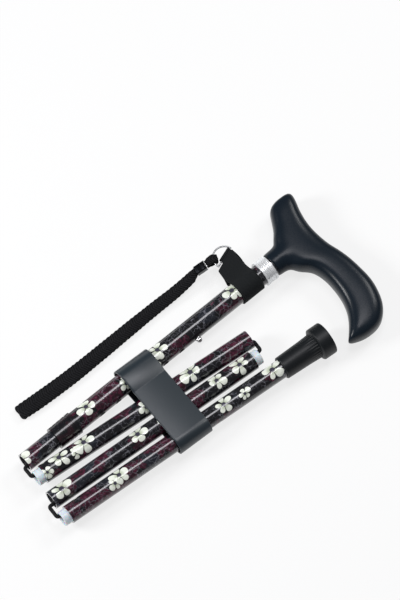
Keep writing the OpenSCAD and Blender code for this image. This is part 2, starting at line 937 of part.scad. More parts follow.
function in_sleeve(out, up) = hung(out, up, sleeve_heading);

function across(heading) = [sin(heading), -cos(heading), 0];

function on_run(shares) =
    [hang_at[0] - strap_run * shares[0], hang_at[1] + strap_run * shares[1],
        run_level + shares[2] * (axis_height - run_level)];

module wrist_strap()
{
    half_t = strap_thickness / 2;
    ease = half_t * (1 - tan(bevel_turn));
    last = len(run_shares) - 1;
    loop = [for (step = [0 : loop_steps])
        let (turn = -loop_start - step * (360 - 2 * loop_start) / loop_steps)
        hung(loop_radius * cos(turn), loop_radius * sin(turn), loop_heading)];
    starting = [for (place = [sleeve_place - cord_gap, sleeve_near]) in_sleeve(place, -layer_half)];
    leaving = [for (place = [sleeve_near, sleeve_far]) in_sleeve(place, layer_half)];
    closing = [for (place = [sleeve_far, sleeve_place + cord_gap]) in_sleeve(place, -layer_half)];
    out = [for (shares = run_shares) on_run(shares) + [0, 0, layer_half]];
    fold = [for (turn = fold_turns)
        on_run(run_shares[last]) + layer_half * [-sin(turn), 0, cos(turn)]];
    back = [for (i = [0 : last]) on_run(run_shares[last - i]) - [0, 0, layer_half]];
    route = concat(starting, loop, leaving, out, fold, back, closing);
    levels = concat([for (i = starting) across(sleeve_heading)],
        [for (i = loop) across(loop_heading)], [for (i = leaving) across(sleeve_heading)],
        [for (i = concat(out, fold, back)) [0, 1, 0]], [for (i = closing) across(sleeve_heading)]);
    widths = concat([for (i = starting) strap_gathered], [for (i = loop) loop_width],
        [for (i = leaving) strap_gathered], [for (shares = run_shares) strap_width * shares[3]],
        [for (i = fold) strap_width], [for (i = [0 : last]) strap_width * run_shares[last - i][3]],
        [for (i = closing) strap_gathered]);
    outlines = [for (width = widths)
        let (half_w = width / 2)
        [[half_w, half_t - ease], [half_w - ease, half_t], [ease - half_w, half_t],
            [-half_w, half_t - ease], [-half_w, ease - half_t], [ease - half_w, -half_t],
            [half_w - ease, -half_t], [half_w, ease - half_t]]];
    color(braid_black)
    swept(route, outlines, levels);
}

// Bright sleeve crimped round both layers of the strap
module strap_sleeve()
{
    inner_w = strap_gathered + 2 * strap_clearance;
    inner_t = 2 * layer_half + strap_thickness + 2 * strap_clearance;
    color("lightgray")
    translate(in_sleeve(sleeve_place, 0))
    rotate([0, 90 + sleeve_slope, sleeve_heading])
    linear_extrude(height = sleeve_length, center = true)
    difference()
    {
        square([inner_t + 2 * sleeve_wall, inner_w + 2 * sleeve_wall], center = true);
        square([inner_t, inner_w], center = true);
    }
}

handle();
handle_stud();
handle_plug();
handle_pin();
collar();
upper_tube();
lock_collar();
collet();
adjuster_tube();
button();
leaf_spring();
tube_b();
tube_c();
tube_d();
spigot_b();
spigot_c();
spigot_d();
cord_bend_1();
cord_bend_2();
cord_bend_3();
cord_a();
cord_b();
cord_c();
cord_d();
anchor_top();
stop_top();
anchor_low();
stop_low();
ferrule();
ferrule_washer();
clip();
strap_band();
strap_ring();
wrist_strap();
strap_sleeve();
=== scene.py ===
import json
import math

import bmesh
import bpy
from mathutils import Matrix, Vector


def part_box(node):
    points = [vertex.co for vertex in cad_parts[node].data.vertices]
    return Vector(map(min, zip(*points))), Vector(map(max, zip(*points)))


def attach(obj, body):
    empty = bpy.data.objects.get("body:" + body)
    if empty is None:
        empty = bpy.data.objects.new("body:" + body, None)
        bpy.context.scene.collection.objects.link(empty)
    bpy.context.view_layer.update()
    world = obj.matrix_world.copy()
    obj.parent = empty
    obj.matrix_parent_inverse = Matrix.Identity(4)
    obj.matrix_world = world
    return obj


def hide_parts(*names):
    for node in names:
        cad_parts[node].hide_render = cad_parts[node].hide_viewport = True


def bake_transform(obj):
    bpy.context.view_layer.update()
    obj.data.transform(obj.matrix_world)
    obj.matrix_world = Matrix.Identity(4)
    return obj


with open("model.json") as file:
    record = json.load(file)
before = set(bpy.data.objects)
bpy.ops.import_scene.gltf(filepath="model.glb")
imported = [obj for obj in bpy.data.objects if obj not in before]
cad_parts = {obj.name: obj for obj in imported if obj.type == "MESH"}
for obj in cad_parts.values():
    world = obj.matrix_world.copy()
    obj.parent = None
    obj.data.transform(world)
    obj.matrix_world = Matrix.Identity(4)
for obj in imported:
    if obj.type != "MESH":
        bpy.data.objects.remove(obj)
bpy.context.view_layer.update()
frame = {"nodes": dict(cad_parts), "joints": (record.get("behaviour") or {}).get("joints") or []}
nodes = frame["nodes"]
joints = {joint["name"]: joint for joint in frame["joints"]}
weld = 0.00001    # points nearer than this are one
scene = bpy.context.scene
scene.view_settings.view_transform = "Standard"


# Small helpers for materials
def newMaterial(name, rough, **fixed):
    mat = bpy.data.materials.new(name)
    mat.use_nodes = True
    skin = mat.node_tree.nodes["Principled BSDF"]
    skin.inputs["Roughness"].default_value = rough
    for key, value in fixed.items():
        skin.inputs[key].default_value = value
    return mat, skin


def feed(mat, socket, value):
    if isinstance(value, bpy.types.NodeSocket):
        mat.node_tree.links.new(value, socket)
    else:
        socket.default_value = value


def addNode(mat, kind, inputs=None, **settings):
    made = mat.node_tree.nodes.new("ShaderNode" + kind)
    for key, value in settings.items():
        setattr(made, key, value)
    for key, value in (inputs or {}).items():
        feed(mat, made.inputs[key], value)
    return made


def calc(mat, operation, first, second=0.0):
    made = addNode(mat, "Math", operation=operation)
    feed(mat, made.inputs[0], first)
    feed(mat, made.inputs[1], second)
    return made.outputs[0]


def rise(mat, value, low, high):    # 0 below low, 1 above high, smooth between
    made = addNode(mat, "MapRange", {"Value": value, "From Min": low, "From Max": high},
                   interpolation_type="SMOOTHSTEP")
    return made.outputs["Result"]


def fall(mat, value, low, high):    # 1 below low, 0 above high
    made = addNode(mat, "MapRange", {"Value": value, "From Min": low, "From Max": high,
                                     "To Min": 1.0, "To Max": 0.0},
                   interpolation_type="SMOOTHSTEP")
    return made.outputs["Result"]


def mixColor(mat, share, first, second):
    made = addNode(mat, "Mix", data_type="RGBA")
    feed(mat, made.inputs[0], share)
    feed(mat, made.inputs[6], first)
    feed(mat, made.inputs[7], second)
    return made.outputs[2]


def noise(mat, place, scale, detail=3.0):
    made = addNode(mat, "TexNoise", {"Vector": place, "Scale": scale, "Detail": detail})
    return made.outputs[0]


def objectPlace(mat):
    return addNode(mat, "TexCoord").outputs["Object"]


def farFrom(mat, first, second):    # how far a place is from the middle
    return calc(mat, "SQRT", calc(mat, "ADD", calc(mat, "MULTIPLY", first, first),
                                  calc(mat, "MULTIPLY", second, second)))


def bumpUp(mat, skin, height, strength, depth):
    made = addNode(mat, "Bump", {"Height": height, "Strength": strength, "Distance": depth})
    mat.node_tree.links.new(made.outputs["Normal"], skin.inputs["Normal"])


def spread(mat, value, low, high):    # a 0 to 1 value taken to another range
    made = addNode(mat, "MapRange", {"Value": value, "To Min": low, "To Max": high})
    return made.outputs["Result"]


# Small helpers for pieces
def finishMesh(name, bm, mat, smooth=True):
    mesh = bpy.data.meshes.new(name)
    bm.to_mesh(mesh)
    bm.free()
    mesh.materials.append(mat)
    for face in mesh.polygons:
        face.use_smooth = smooth
    obj = bpy.data.objects.new(name, mesh)
    scene.collection.objects.link(obj)
    return obj


def softEdges(obj, width, segments=3, angle=30):
    bevel = obj.modifiers.new("softEdges", "BEVEL")
    bevel.width = width
    bevel.segments = segments
    bevel.limit_method = "ANGLE"
    bevel.angle_limit = math.radians(angle)
    bevel.harden_normals = True


def dress(piece, body, slotName, *replaced):
    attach(piece, body)
    if replaced:
        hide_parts(*replaced)


def mergedCopy(node):    # a welded copy of a CAD node's mesh
    bm = bmesh.new()
    bm.from_mesh(nodes[node].data)
    bmesh.ops.remove_doubles(bm, verts=bm.verts, dist=weld)
    return bm


def pulledRow(bm, edges):    # the same edges drawn out once more: the new points and edges
    made = bmesh.ops.extrude_edge_only(bm, edges=edges)["geom"]
    fresh = [item for item in made if isinstance(item, bmesh.types.BMVert)]
    return fresh, [item for item in made if isinstance(item, bmesh.types.BMEdge)
                   and all(vert in fresh for vert in item.verts)]


def boxy(value, power):    # a circle's coordinate, drawn towards a rounded box
    return math.copysign(abs(value) ** power, value)


def heading(direction):
    return math.atan2(direction[1], direction[0])


def turned(vector):    # a quarter turn to the left, seen from above
    return Vector((-vector.y, vector.x, 0))


def flat(angle):
    return Vector((math.cos(angle), math.sin(angle), 0))


# Where each printed tube lies: its middle, and its direction from a joint along it
def tubeFrame(node, joint, flip):
    low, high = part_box(node)
    axis = Vector(joints[joint]["axis"]) * flip
    return {"middle": (low + high) / 2, "angle": heading(axis)}


tubes = {
    "upper_tube": tubeFrame("upper_tube", "height_slide", -1),
    "adjuster_tube": tubeFrame("adjuster_tube", "height_slide", -1),
    "tube_b": tubeFrame("tube_b", "seat_1", -1),
    "tube_c": tubeFrame("tube_c", "seat_2", 1),
    "tube_d": tubeFrame("tube_d", "seat_3", -1),
}
axisHeight = tubes["upper_tube"]["middle"].z
dirA = flat(tubes["upper_tube"]["angle"])
sideA = turned(dirA)


# Camera at the photograph's place
cameraLook = {"azimuth": -36.35, "elevation": 68.0, "distance": 8.0, "lens": 587.4, "sensor": 36.0,
              "near": 0.05, "aim": (0.04214, 0.03725, 0.01425)}


def makeCamera():
    look = cameraLook
    turn, lift = math.radians(look["azimuth"]), math.radians(look["elevation"])
    back = Vector((math.sin(turn) * math.cos(lift), -math.cos(turn) * math.cos(lift), math.sin(lift)))
    data = bpy.data.cameras.new("photoCamera")
    data.lens = look["lens"]
    data.sensor_width = look["sensor"]
    data.clip_start = look["near"]
    obj = bpy.data.objects.new("photoCamera", data)
    obj.location = Vector(look["aim"]) + back * look["distance"]
    obj.rotation_euler = back.to_track_quat("Z", "Y").to_euler()
    scene.collection.objects.link(obj)
    scene.camera = obj
    print("camera", [round(x, 3) for x in obj.location])


makeCamera()


# Braided wrist strap: out and back in two layers from a loop on the ring, in metres
strapLook = {
    "width": 0.0126, "loopWidth": 0.0074, "gathered": 0.006, "thickness": 0.0026, "gap": 0.0007,
    "run": 0.205, "foldTurns": (45, 90, 135), "buttGap": 0.0001, "boxy": 0.55,
    "sleevePlace": 0.012, "sleeveLength": 0.010, "sleeveHeading": 176.0, "sleeveSlope": 11.0,
    "loopRadius": 0.00309, "loopStart": 75.0, "loopSteps": 7, "clearance": 0.0003,
    "step": 0.0005, "sides": 24, "ribPitch": 0.0042, "ribHeight": 0.00040,
    "ribLean": 0.9, "ribNarrow": 0.03,
}
runShares = [    # of the reach outwards and sideways, of the drop from the ring, and of the width
    (0.117, -0.0030, 0.57, 0.72), (0.154, -0.0065, 0.42, 0.76), (0.204, -0.0100, 0.255, 0.80),
    (0.263, -0.0120, 0.12, 0.84), (0.332, -0.0158, 0.025, 0.87), (0.436, -0.0245, 0, 0.93),
    (0.592, -0.0391, 0, 0.99), (0.748, -0.0517, 0, 1.04), (0.904, -0.0570, 0, 1.07),
    (0.989, -0.0570, 0, 1.03),
]
hangAt = Vector(joints["strap_swing"]["pos_m"])
loopHeading = heading(joints["strap_swing"]["axis"]) + math.pi / 2
layerHalf = (strapLook["thickness"] + strapLook["gap"]) / 2
runLevel = strapLook["clearance"] + strapLook["thickness"] / 2 + layerHalf


def hung(out, up, toward):    # a place by the ring, out from the wire and up from the sleeve's slope
    slope = math.radians(strapLook["sleeveSlope"])
    level = flat(toward) * (out * math.cos(slope) + up * math.sin(slope))
    return hangAt + level + Vector((0, 0, up * math.cos(slope) - out * math.sin(slope)))


def inSleeve(out, up):
    return hung(out, up, math.radians(strapLook["sleeveHeading"]))


def onRun(shares, lift):
    run = strapLook["run"]
    level = runLevel + shares[2] * (axisHeight - runLevel)
    return Vector((hangAt.x - run * shares[0], hangAt.y + run * shares[1], level + lift))


def strapRoute():    # points, with how wide the strap is there
    look = strapLook
    slim, wide = look["gathered"], look["width"]
    near = look["sleevePlace"] - look["sleeveLength"] / 2
    far = look["sleevePlace"] + look["sleeveLength"] / 2
    route = [(inSleeve(look["sleevePlace"] - look["buttGap"], -layerHalf), slim),
             (inSleeve(near, -layerHalf), slim)]
    sweep = 360 - 2 * look["loopStart"]
    for step in range(look["loopSteps"] + 1):
        turn = math.radians(-look["loopStart"] - step * sweep / look["loopSteps"])
        radius = look["loopRadius"]
        onLoop = hung(radius * math.cos(turn), radius * math.sin(turn), loopHeading)
        route.append((onLoop, look["loopWidth"]))
    route += [(inSleeve(near, layerHalf), slim), (inSleeve(far, layerHalf), slim)]
    route += [(onRun(shares, layerHalf), wide * shares[3]) for shares in runShares]
    end = onRun(runShares[-1], 0)
    for degrees in look["foldTurns"]:
        turn = math.radians(degrees)
        route.append((end + layerHalf * Vector((-math.sin(turn), 0, math.cos(turn))), wide))
    route += [(onRun(shares, -layerHalf), wide * shares[3]) for shares in reversed(runShares)]
    route += [(inSleeve(far, -layerHalf), slim),
              (inSleeve(look["sleevePlace"] + look["buttGap"], -layerHalf), slim)]
    return route


def smoothRoute(route, step):    # an even curve through the route's points
    found = []
    lowest = min(place.z for place, width in route)
    for k in range(len(route) - 1):
        (here, wideHere), (there, wideThere) = route[k], route[k + 1]
        hop = there - here
        before = route[k - 1][0] if k else here - hop
        after = route[k + 2][0] if k + 2 < len(route) else there + hop
        runIn, run, runOut = [math.sqrt(part.length) for part in (here - before, hop, after - there)]
        slopeIn = (here - before) / runIn - (there - before) / (runIn + run) + hop / run
        slopeOut = hop / run - (after - here) / (run + runOut) + (after - there) / runOut
        parts = max(2, round(hop.length / step))
        for i in range(parts):
            u = i / parts
            fromHere, leaving = 2 * u**3 - 3 * u**2 + 1, u**3 - 2 * u**2 + u
            toThere, arriving = 3 * u**2 - 2 * u**3, u**3 - u**2
            place = here * fromHere + slopeIn * run * leaving + there * toThere + slopeOut * run * arriving
            place.z = max(place.z, lowest)
            found.append((place, wideHere + (wideThere - wideHere) * toThere))
    found.append(route[-1])
    return found


braidLook = {"dark": (0.0015, 0.0015, 0.0018, 1), "pale": (0.014, 0.014, 0.017, 1), "specular": 0.12,
             "rough": (0.5, 0.75), "strands": 2.0, "lean": 2.4, "fibre": 2600.0, "lift": 0.25,
             "fuzz": 0.5, "bump": 0.8, "depth": 0.0006}


def braidMaterial():
    look = braidLook
    mat, skin = newMaterial("braid", look["rough"][0], **{"Specular IOR Level": look["specular"]})
    place = objectPlace(mat)
    uv = addNode(mat, "SeparateXYZ", {0: addNode(mat, "UVMap", uv_map="braidMap").outputs[0]})
    across = calc(mat, "ABSOLUTE", calc(mat, "SUBTRACT", uv.outputs[0], 0.5))
    slant = calc(mat, "ADD", calc(mat, "MULTIPLY", uv.outputs[1], look["strands"]),
                 calc(mat, "MULTIPLY", across, look["lean"]))
    strands = calc(mat, "ABSOLUTE", calc(mat, "SINE", calc(mat, "MULTIPLY", slant, math.pi)))
    fibre = noise(mat, place, look["fibre"], 2.0)
    tone = calc(mat, "MULTIPLY", strands, calc(mat, "ADD", fibre, look["lift"]))
    feed(mat, skin.inputs["Base Color"], mixColor(mat, tone, look["dark"], look["pale"]))
    feed(mat, skin.inputs["Roughness"], spread(mat, fibre, *look["rough"]))
    height = calc(mat, "ADD", strands, calc(mat, "MULTIPLY", fibre, look["fuzz"]))
    bumpUp(mat, skin, height, look["bump"], look["depth"])
    return mat


def makeStrap():
    look = strapLook
    line = smoothRoute(strapRoute(), look["step"])
    path = [place for place, width in line]
    bm = bmesh.new()
    along = bm.verts.layers.float.new("along")
    acrossLayer = bm.verts.layers.float.new("across")
    ring = bmesh.ops.create_circle(bm, segments=look["sides"], radius=1.0)["verts"]
    shares = [(vert.co.x, vert.co.y) for vert in ring]
    edges = list(bm.edges)
    rows = [ring]
    for row in range(len(line) - 1):
        fresh, edges = pulledRow(bm, edges)
        rows.append(fresh)
    wideWay = None
    lengthSoFar = 0.0
    for k, (place, width) in enumerate(line):
        ahead = (path[min(k + 1, len(path) - 1)] - path[max(k - 1, 0)]).normalized()
        if k:
            lengthSoFar += (path[k] - path[k - 1]).length
        if wideWay is None:
            wideWay = ahead.cross(Vector((0, 0, 1))).normalized()
        wideWay.z = 0.0    # the strap lies level across its width
        wideWay = (wideWay - ahead * wideWay.dot(ahead)).normalized()
        upWay = wideWay.cross(ahead)
        for (x, y), vert in zip(shares, rows[k]):
            u, v = boxy(x, look["boxy"]), boxy(y, look["boxy"])
            weave = math.cos(2 * math.pi * (lengthSoFar / look["ribPitch"] + abs(u) * look["ribLean"]))
            lump = 1 + look["ribHeight"] / (look["thickness"] / 2) * (weave - 1) / 2
            vert.co = place + wideWay * u * width / 2 * (1 - look["ribNarrow"] * (1 - weave)) \
                + upWay * v * look["thickness"] / 2 * lump
            vert[along] = lengthSoFar / look["ribPitch"]
            vert[acrossLayer] = 0.5 + u / 2
    bmesh.ops.holes_fill(bm, edges=[edge for edge in bm.edges if edge.is_boundary], sides=0)
    bmesh.ops.recalc_face_normals(bm, faces=bm.faces)
    uv = bm.loops.layers.uv.new("braidMap")
    for face in bm.faces:
        for loop in face.loops:
            loop[uv].uv = (loop.vert[acrossLayer], loop.vert[along])
    strap = finishMesh("wristBraid", bm, braidMaterial())
    dress(strap, "strap", "braid", "wrist_strap")
    print("strap length", round(lengthSoFar, 4), "rings", len(line))
    return strap, path, lengthSoFar


strapPiece, strapPath, strapLength = makeStrap()


# Metal sleeve crimped round both layers of the strap: dark, with a bright rim at one end and a painted
# highlight along one side edge
sleeveLook = {"wall": 0.0006, "crimp": 0.00012, "crimps": 2, "rows": 15, "sides": 40, "boxy": 0.3,
              # rim: the bright band at one end; edge: the width of a painted highlight along one side;
              # bright: the colour of both
              "roll": 0.00015, "rim": 0.0007, "edge": 0.0004, "soft": 0.0002, "rough": 0.28, "bump": 0.05,
              "dark": (0.018, 0.019, 0.022, 1), "bright": (0.86, 0.87, 0.88, 1)}
chromeLook = {"haze": 240.0, "dim": 0.9, "smoothest": 0.7, "roughest": 1.4, "grain": 900.0, "bump": 0.02,
              "depth": 0.0001}
chromeFinishes = {
    "buttonSteel": {"tint": (0.66, 0.66, 0.67), "rough": 0.16, "metallic": 1.0},
    "collarChrome": {"tint": (0.93, 0.95, 0.97), "rough": 0.20, "metallic": 0.40},
    "wireChrome": {"tint": (0.55, 0.56, 0.57), "rough": 0.34, "metallic": 1.0},
}


def chromeMaterial(name, tint, rough, metallic):
    look = chromeLook
    mat, skin = newMaterial(name, rough, Metallic=metallic)
    place = objectPlace(mat)
    haze = noise(mat, place, look["haze"])
    dim = [c * look["dim"] for c in tint]
    feed(mat, skin.inputs["Base Color"], mixColor(mat, haze, (*dim, 1), (*tint, 1)))
    roughness = spread(mat, haze, rough * look["smoothest"], rough * look["roughest"])
    feed(mat, skin.inputs["Roughness"], roughness)
    bumpUp(mat, skin, noise(mat, place, look["grain"], 1.0), look["bump"], look["depth"])
    return mat


chrome = {name: chromeMaterial(name, **look) for name, look in chromeFinishes.items()}


def sleeveMaterial(halfW):
    look = sleeveLook
    mat, skin = newMaterial("sleeveMetal", look["rough"], Metallic=1.0)
    place = objectPlace(mat)
    turn = (0, math.radians(strapLook["sleeveSlope"]), math.radians(strapLook["sleeveHeading"]))
    local = addNode(mat, "Mapping", {"Vector": place, "Rotation": turn,
                                     "Location": tuple(inSleeve(strapLook["sleevePlace"], 0))},
                    vector_type="TEXTURE")
    along, sideways = addNode(mat, "SeparateXYZ", {0: local.outputs[0]}).outputs[:2]
    # the bright band at one end is the rim; the bright line along one side edge is a painted highlight
    rim = look["rim"] - strapLook["sleeveLength"] / 2
    edge = look["edge"] - halfW
    pale = calc(mat, "MAXIMUM", fall(mat, along, rim, rim + look["soft"]),
                fall(mat, sideways, edge, edge + look["soft"]))
    feed(mat, skin.inputs["Base Color"], mixColor(mat, pale, look["dark"], look["bright"]))
    bumpUp(mat, skin, noise(mat, place, chromeLook["grain"], 1.0), look["bump"], chromeLook["depth"])
    return mat


def makeSleeve():
    look = sleeveLook
    bm = bmesh.new()
    innerW = strapLook["gathered"] + 2 * strapLook["clearance"]
    innerT = 2 * layerHalf + strapLook["thickness"] + 2 * strapLook["clearance"]
    halfW, halfT = innerW / 2 + look["wall"], innerT / 2 + look["wall"]
    for vert in bmesh.ops.create_circle(bm, segments=look["sides"], radius=1.0)["verts"]:
        u, v = boxy(vert.co.x, look["boxy"]), boxy(vert.co.y, look["boxy"])
        vert.co = Vector((-strapLook["sleeveLength"] / 2, u * halfW, v * halfT))
    edges = list(bm.edges)
    for row in range(look["rows"]):
        fresh, edges = pulledRow(bm, edges)
        bmesh.ops.translate(bm, verts=fresh, vec=(strapLook["sleeveLength"] / look["rows"], 0, 0))
    for vert in bm.verts:    # crimped in, in two places along it
        s = vert.co.x / strapLook["sleeveLength"] + 0.5
        pinch = look["crimp"] * (0.5 - 0.5 * math.cos(2 * math.pi * look["crimps"] * s))
        vert.co.y *= 1 - pinch / halfW
        vert.co.z *= 1 - pinch / halfT
    bmesh.ops.recalc_face_normals(bm, faces=bm.faces)
    bmesh.ops.solidify(bm, geom=list(bm.faces), thickness=look["wall"])
    place = Matrix.Translation(inSleeve(strapLook["sleevePlace"], 0)) \
        @ Matrix.Rotation(math.radians(strapLook["sleeveHeading"]), 4, "Z") \
        @ Matrix.Rotation(math.radians(strapLook["sleeveSlope"]), 4, "Y")
    bmesh.ops.transform(bm, matrix=place, verts=bm.verts)
    bmesh.ops.recalc_face_normals(bm, faces=bm.faces)
    piece = finishMesh("crimpSleeve", bm, sleeveMaterial(halfW))
    softEdges(piece, look["roll"], segments=2)
    dress(piece, "strap", "bright_metal", "strap_sleeve")
    return piece


sleevePiece = makeSleeve()


# Printed tubes: dark ground, wine patches, pale web lines and five-petal flowers under clear gloss
printLook = {
    "ground": (0.0036, 0.0038, 0.0062, 1), "slate": (0.011, 0.014, 0.022, 1),
    "wine": (0.083, 0.009, 0.031, 1), "wineDark": (0.020, 0.003, 0.009, 1),
    "web": (0.25, 0.25, 0.29, 1), "petal": (0.90, 0.94, 0.85, 1), "petalDeep": (0.44, 0.50, 0.36, 1),
    "eye": (0.045, 0.042, 0.066, 1), "bare": (0.55, 0.55, 0.56, 1), "firstSeed": 1.0, "seedStep": 0.73,
    "rough": 0.30, "specular": 0.2, "coatRough": 0.09, "grain": 300.0, "bump": 0.03, "depth": 0.0002,
    "skinFrom": 0.0007, "skinTo": 0.0005,
}
patchLook = {    # how fine each layer of the ground is, and between which values it shows
    "side": 0.3, "wobble": 160.0, "stray": 0.010, "patches": 72.0, "mottle": 420.0,
    "slateFrom": (0.50, 0.56), "wineFrom": (0.66, 0.70), "wineTone": (0.42, 0.66),
    "cells": 190.0, "line": (0.010, 0.050), "breaks": 110.0, "unbroken": (0.36, 0.58), "lineShare": 0.62,
    "speckFrom": (0.62, 0.74), "speckShare": 0.22,
}
flowerLook = [    # cells round the tube, cell length, petal reach, share of cells with a flower
    {"around": 2, "step": 0.0262, "reach": 0.0112, "often": 0.46, "seed": 1.7, "wander": 0.0024},
    {"around": 3, "step": 0.0330, "reach": 0.0076, "often": 0.26, "seed": 5.3, "wander": 0.0020},
]
petalLook = {"count": 5, "middle": 0.56, "long": 0.45, "wide": 0.52, "narrow": 0.26, "widen": 0.66,
             "smallest": 0.74, "lengths": (0.72, 1.06), "widths": (0.70, 1.10), "sway": 0.20, "picks": 7.0,
             "rim": (0.86, 1.0), "eye": 0.17, "eyeSoft": 0.08, "deep": (0.22, 0.60), "deepShare": 0.8,
             "veins": 35.0, "veinFrom": (0.3, 1.0), "veinShare": 0.08}
drawLook = {"shift": 0.37, "turns": 40.0, "petal": 31.0, "ahead": 100.0}    # keep one draw from the next


def flowers(mat, turn, along, girth, look, seed):
    across = calc(mat, "MULTIPLY", turn, look["around"])
    down = calc(mat, "DIVIDE", calc(mat, "ADD", along, seed * drawLook["shift"]), look["step"])
    cell = addNode(mat, "CombineXYZ", {"X": calc(mat, "FLOOR", across), "Y": calc(mat, "FLOOR", down),
                                       "Z": look["seed"] + seed})
    draw = addNode(mat, "TexWhiteNoise", {"Vector": cell.outputs[0]}, noise_dimensions="3D")
    value = draw.outputs["Value"]
    rgb = addNode(mat, "SeparateColor", {"Color": draw.outputs["Color"]}).outputs
    places = []
    for steps, size, pick in ((across, girth / look["around"], rgb[0]), (down, look["step"], rgb[1])):
        centred = calc(mat, "MULTIPLY", calc(mat, "SUBTRACT", calc(mat, "FRACT", steps), 0.5), size)
        astray = spread(mat, pick, -look["wander"], look["wander"])
        places.append(calc(mat, "SUBTRACT", centred, astray))
    sideways, lengthways = places
    size = spread(mat, rgb[2], look["reach"] * petalLook["smallest"], look["reach"])
    far = calc(mat, "DIVIDE", farFrom(mat, sideways, lengthways), size)
    bearing = calc(mat, "ADD", calc(mat, "ARCTAN2", lengthways, sideways),
                   calc(mat, "MULTIPLY", value, drawLook["turns"]))
    fifths = calc(mat, "MULTIPLY", bearing, petalLook["count"] / (2 * math.pi))
    which = calc(mat, "MODULO", calc(mat, "FLOOR", calc(mat, "ADD", fifths, drawLook["ahead"])),
                 petalLook["count"])
    single = addNode(mat, "CombineXYZ", {"X": which, "Y": calc(mat, "MULTIPLY", value, drawLook["petal"]),
                                         "Z": petalLook["picks"] + seed})
    chance = addNode(mat, "TexWhiteNoise", {"Vector": single.outputs[0]}, noise_dimensions="3D")
    own = addNode(mat, "SeparateColor", {"Color": chance.outputs["Color"]}).outputs
    reach = calc(mat, "DIVIDE", far, spread(mat, own[0], *petalLook["lengths"]))
    swing = calc(mat, "MULTIPLY", calc(mat, "SUBTRACT", calc(mat, "FRACT", fifths), 0.5),
                 2 * math.pi / petalLook["count"])
    swing = calc(mat, "ADD", swing, spread(mat, own[2], -petalLook["sway"], petalLook["sway"]))
    out = calc(mat, "SUBTRACT", calc(mat, "MULTIPLY", reach, calc(mat, "COSINE", swing)),
               petalLook["middle"])
    out = calc(mat, "DIVIDE", out, petalLook["long"])
    off = calc(mat, "MULTIPLY", reach, calc(mat, "SINE", swing))
    broad = calc(mat, "ADD", petalLook["narrow"], calc(mat, "MULTIPLY", reach, petalLook["widen"]))
    wide = calc(mat, "MULTIPLY", spread(mat, own[1], *petalLook["widths"]), petalLook["wide"])
    off = calc(mat, "DIVIDE", off, calc(mat, "MULTIPLY", broad, wide))
    share = calc(mat, "ADD", calc(mat, "MULTIPLY", out, out), calc(mat, "MULTIPLY", off, off))
    there = calc(mat, "LESS_THAN", value, look["often"])
    petal = calc(mat, "MULTIPLY", fall(mat, share, *petalLook["rim"]), there)
    eyeEdge = petalLook["eye"] + petalLook["eyeSoft"]
    eye = calc(mat, "MULTIPLY", fall(mat, far, petalLook["eye"], eyeEdge), there)
    stripes = calc(mat, "COSINE", calc(mat, "MULTIPLY", bearing, petalLook["veins"]))
    vein = rise(mat, stripes, *petalLook["veinFrom"])
    deep = fall(mat, far, *petalLook["deep"])
    depth = calc(mat, "ADD", calc(mat, "MULTIPLY", deep, petalLook["deepShare"]),
                 calc(mat, "MULTIPLY", vein, petalLook["veinShare"]))
    return petal, eye, depth


def groundColor(mat, place):    # patches of slate and wine on the dark ground, under a broken pale web
    look, fine = printLook, patchLook
    wobble = addNode(mat, "TexNoise", {"Vector": place, "Scale": fine["wobble"], "Detail": 3.0})
    bent = addNode(mat, "VectorMath", {0: wobble.outputs["Color"], 1: (fine["stray"],) * 3},
                   operation="MULTIPLY")
    drawn = addNode(mat, "VectorMath", {0: place, 1: bent.outputs[0]}, operation="ADD").outputs[0]
    patch = addNode(mat, "TexVoronoi", {"Vector": drawn, "Scale": fine["patches"]}, feature="F1")
    pick = addNode(mat, "SeparateColor", {"Color": patch.outputs["Color"]}).outputs[0]
    mottle = noise(mat, place, fine["mottle"], 5.0)
    color = mixColor(mat, rise(mat, pick, *fine["slateFrom"]), look["ground"], look["slate"])
    wine = mixColor(mat, rise(mat, mottle, *fine["wineTone"]), look["wineDark"], look["wine"])
    color = mixColor(mat, rise(mat, pick, *fine["wineFrom"]), color, wine)
    web = addNode(mat, "TexVoronoi", {"Vector": drawn, "Scale": fine["cells"]}, feature="DISTANCE_TO_EDGE")
    line = calc(mat, "MULTIPLY", fall(mat, web.outputs["Distance"], *fine["line"]),
                rise(mat, noise(mat, place, fine["breaks"]), *fine["unbroken"]))
    speck = calc(mat, "MULTIPLY", rise(mat, mottle, *fine["speckFrom"]), fine["speckShare"])
    pale = calc(mat, "MAXIMUM", calc(mat, "MULTIPLY", line, fine["lineShare"]), speck)
    return mixColor(mat, pale, color, look["web"])


def printMaterial(name, spot, radius, seed):
    look = printLook
    mat, skin = newMaterial(name, look["rough"], **{"Coat Weight": 1.0, "Coat Roughness": look["coatRough"],
                                                    "Specular IOR Level": look["specular"]})
    local = addNode(mat, "Mapping", {"Vector": objectPlace(mat), "Location": tuple(spot["middle"]),
                                     "Rotation": (0, 0, spot["angle"])}, vector_type="TEXTURE").outputs[0]
    along, sideways, up = addNode(mat, "SeparateXYZ", {0: local}).outputs
    shift = (seed, seed * patchLook["side"], 0)
    shifted = addNode(mat, "Mapping", {"Vector": local, "Location": shift}).outputs[0]
    color = groundColor(mat, shifted)
    turn = calc(mat, "ADD", calc(mat, "DIVIDE", calc(mat, "ARCTAN2", up, sideways), 2 * math.pi), 0.5)
    for layer in reversed(flowerLook):
        petal, eye, depth = flowers(mat, turn, along, 2 * math.pi * radius, layer, seed)
        color = mixColor(mat, petal, color, mixColor(mat, depth, look["petal"], look["petalDeep"]))
        color = mixColor(mat, eye, color, look["eye"])
    outside = rise(mat, farFrom(mat, sideways, up), radius - look["skinFrom"], radius - look["skinTo"])
    feed(mat, skin.inputs["Base Color"], mixColor(mat, outside, look["bare"], color))    # bare in the bore
    feed(mat, skin.inputs["Metallic"], calc(mat, "SUBTRACT", 1.0, outside))
    bumpUp(mat, skin, noise(mat, shifted, look["grain"]), look["bump"], look["depth"])
    return mat


def paint(node, mat):
    nodes[node].data.materials.clear()
    nodes[node].data.materials.append(mat)


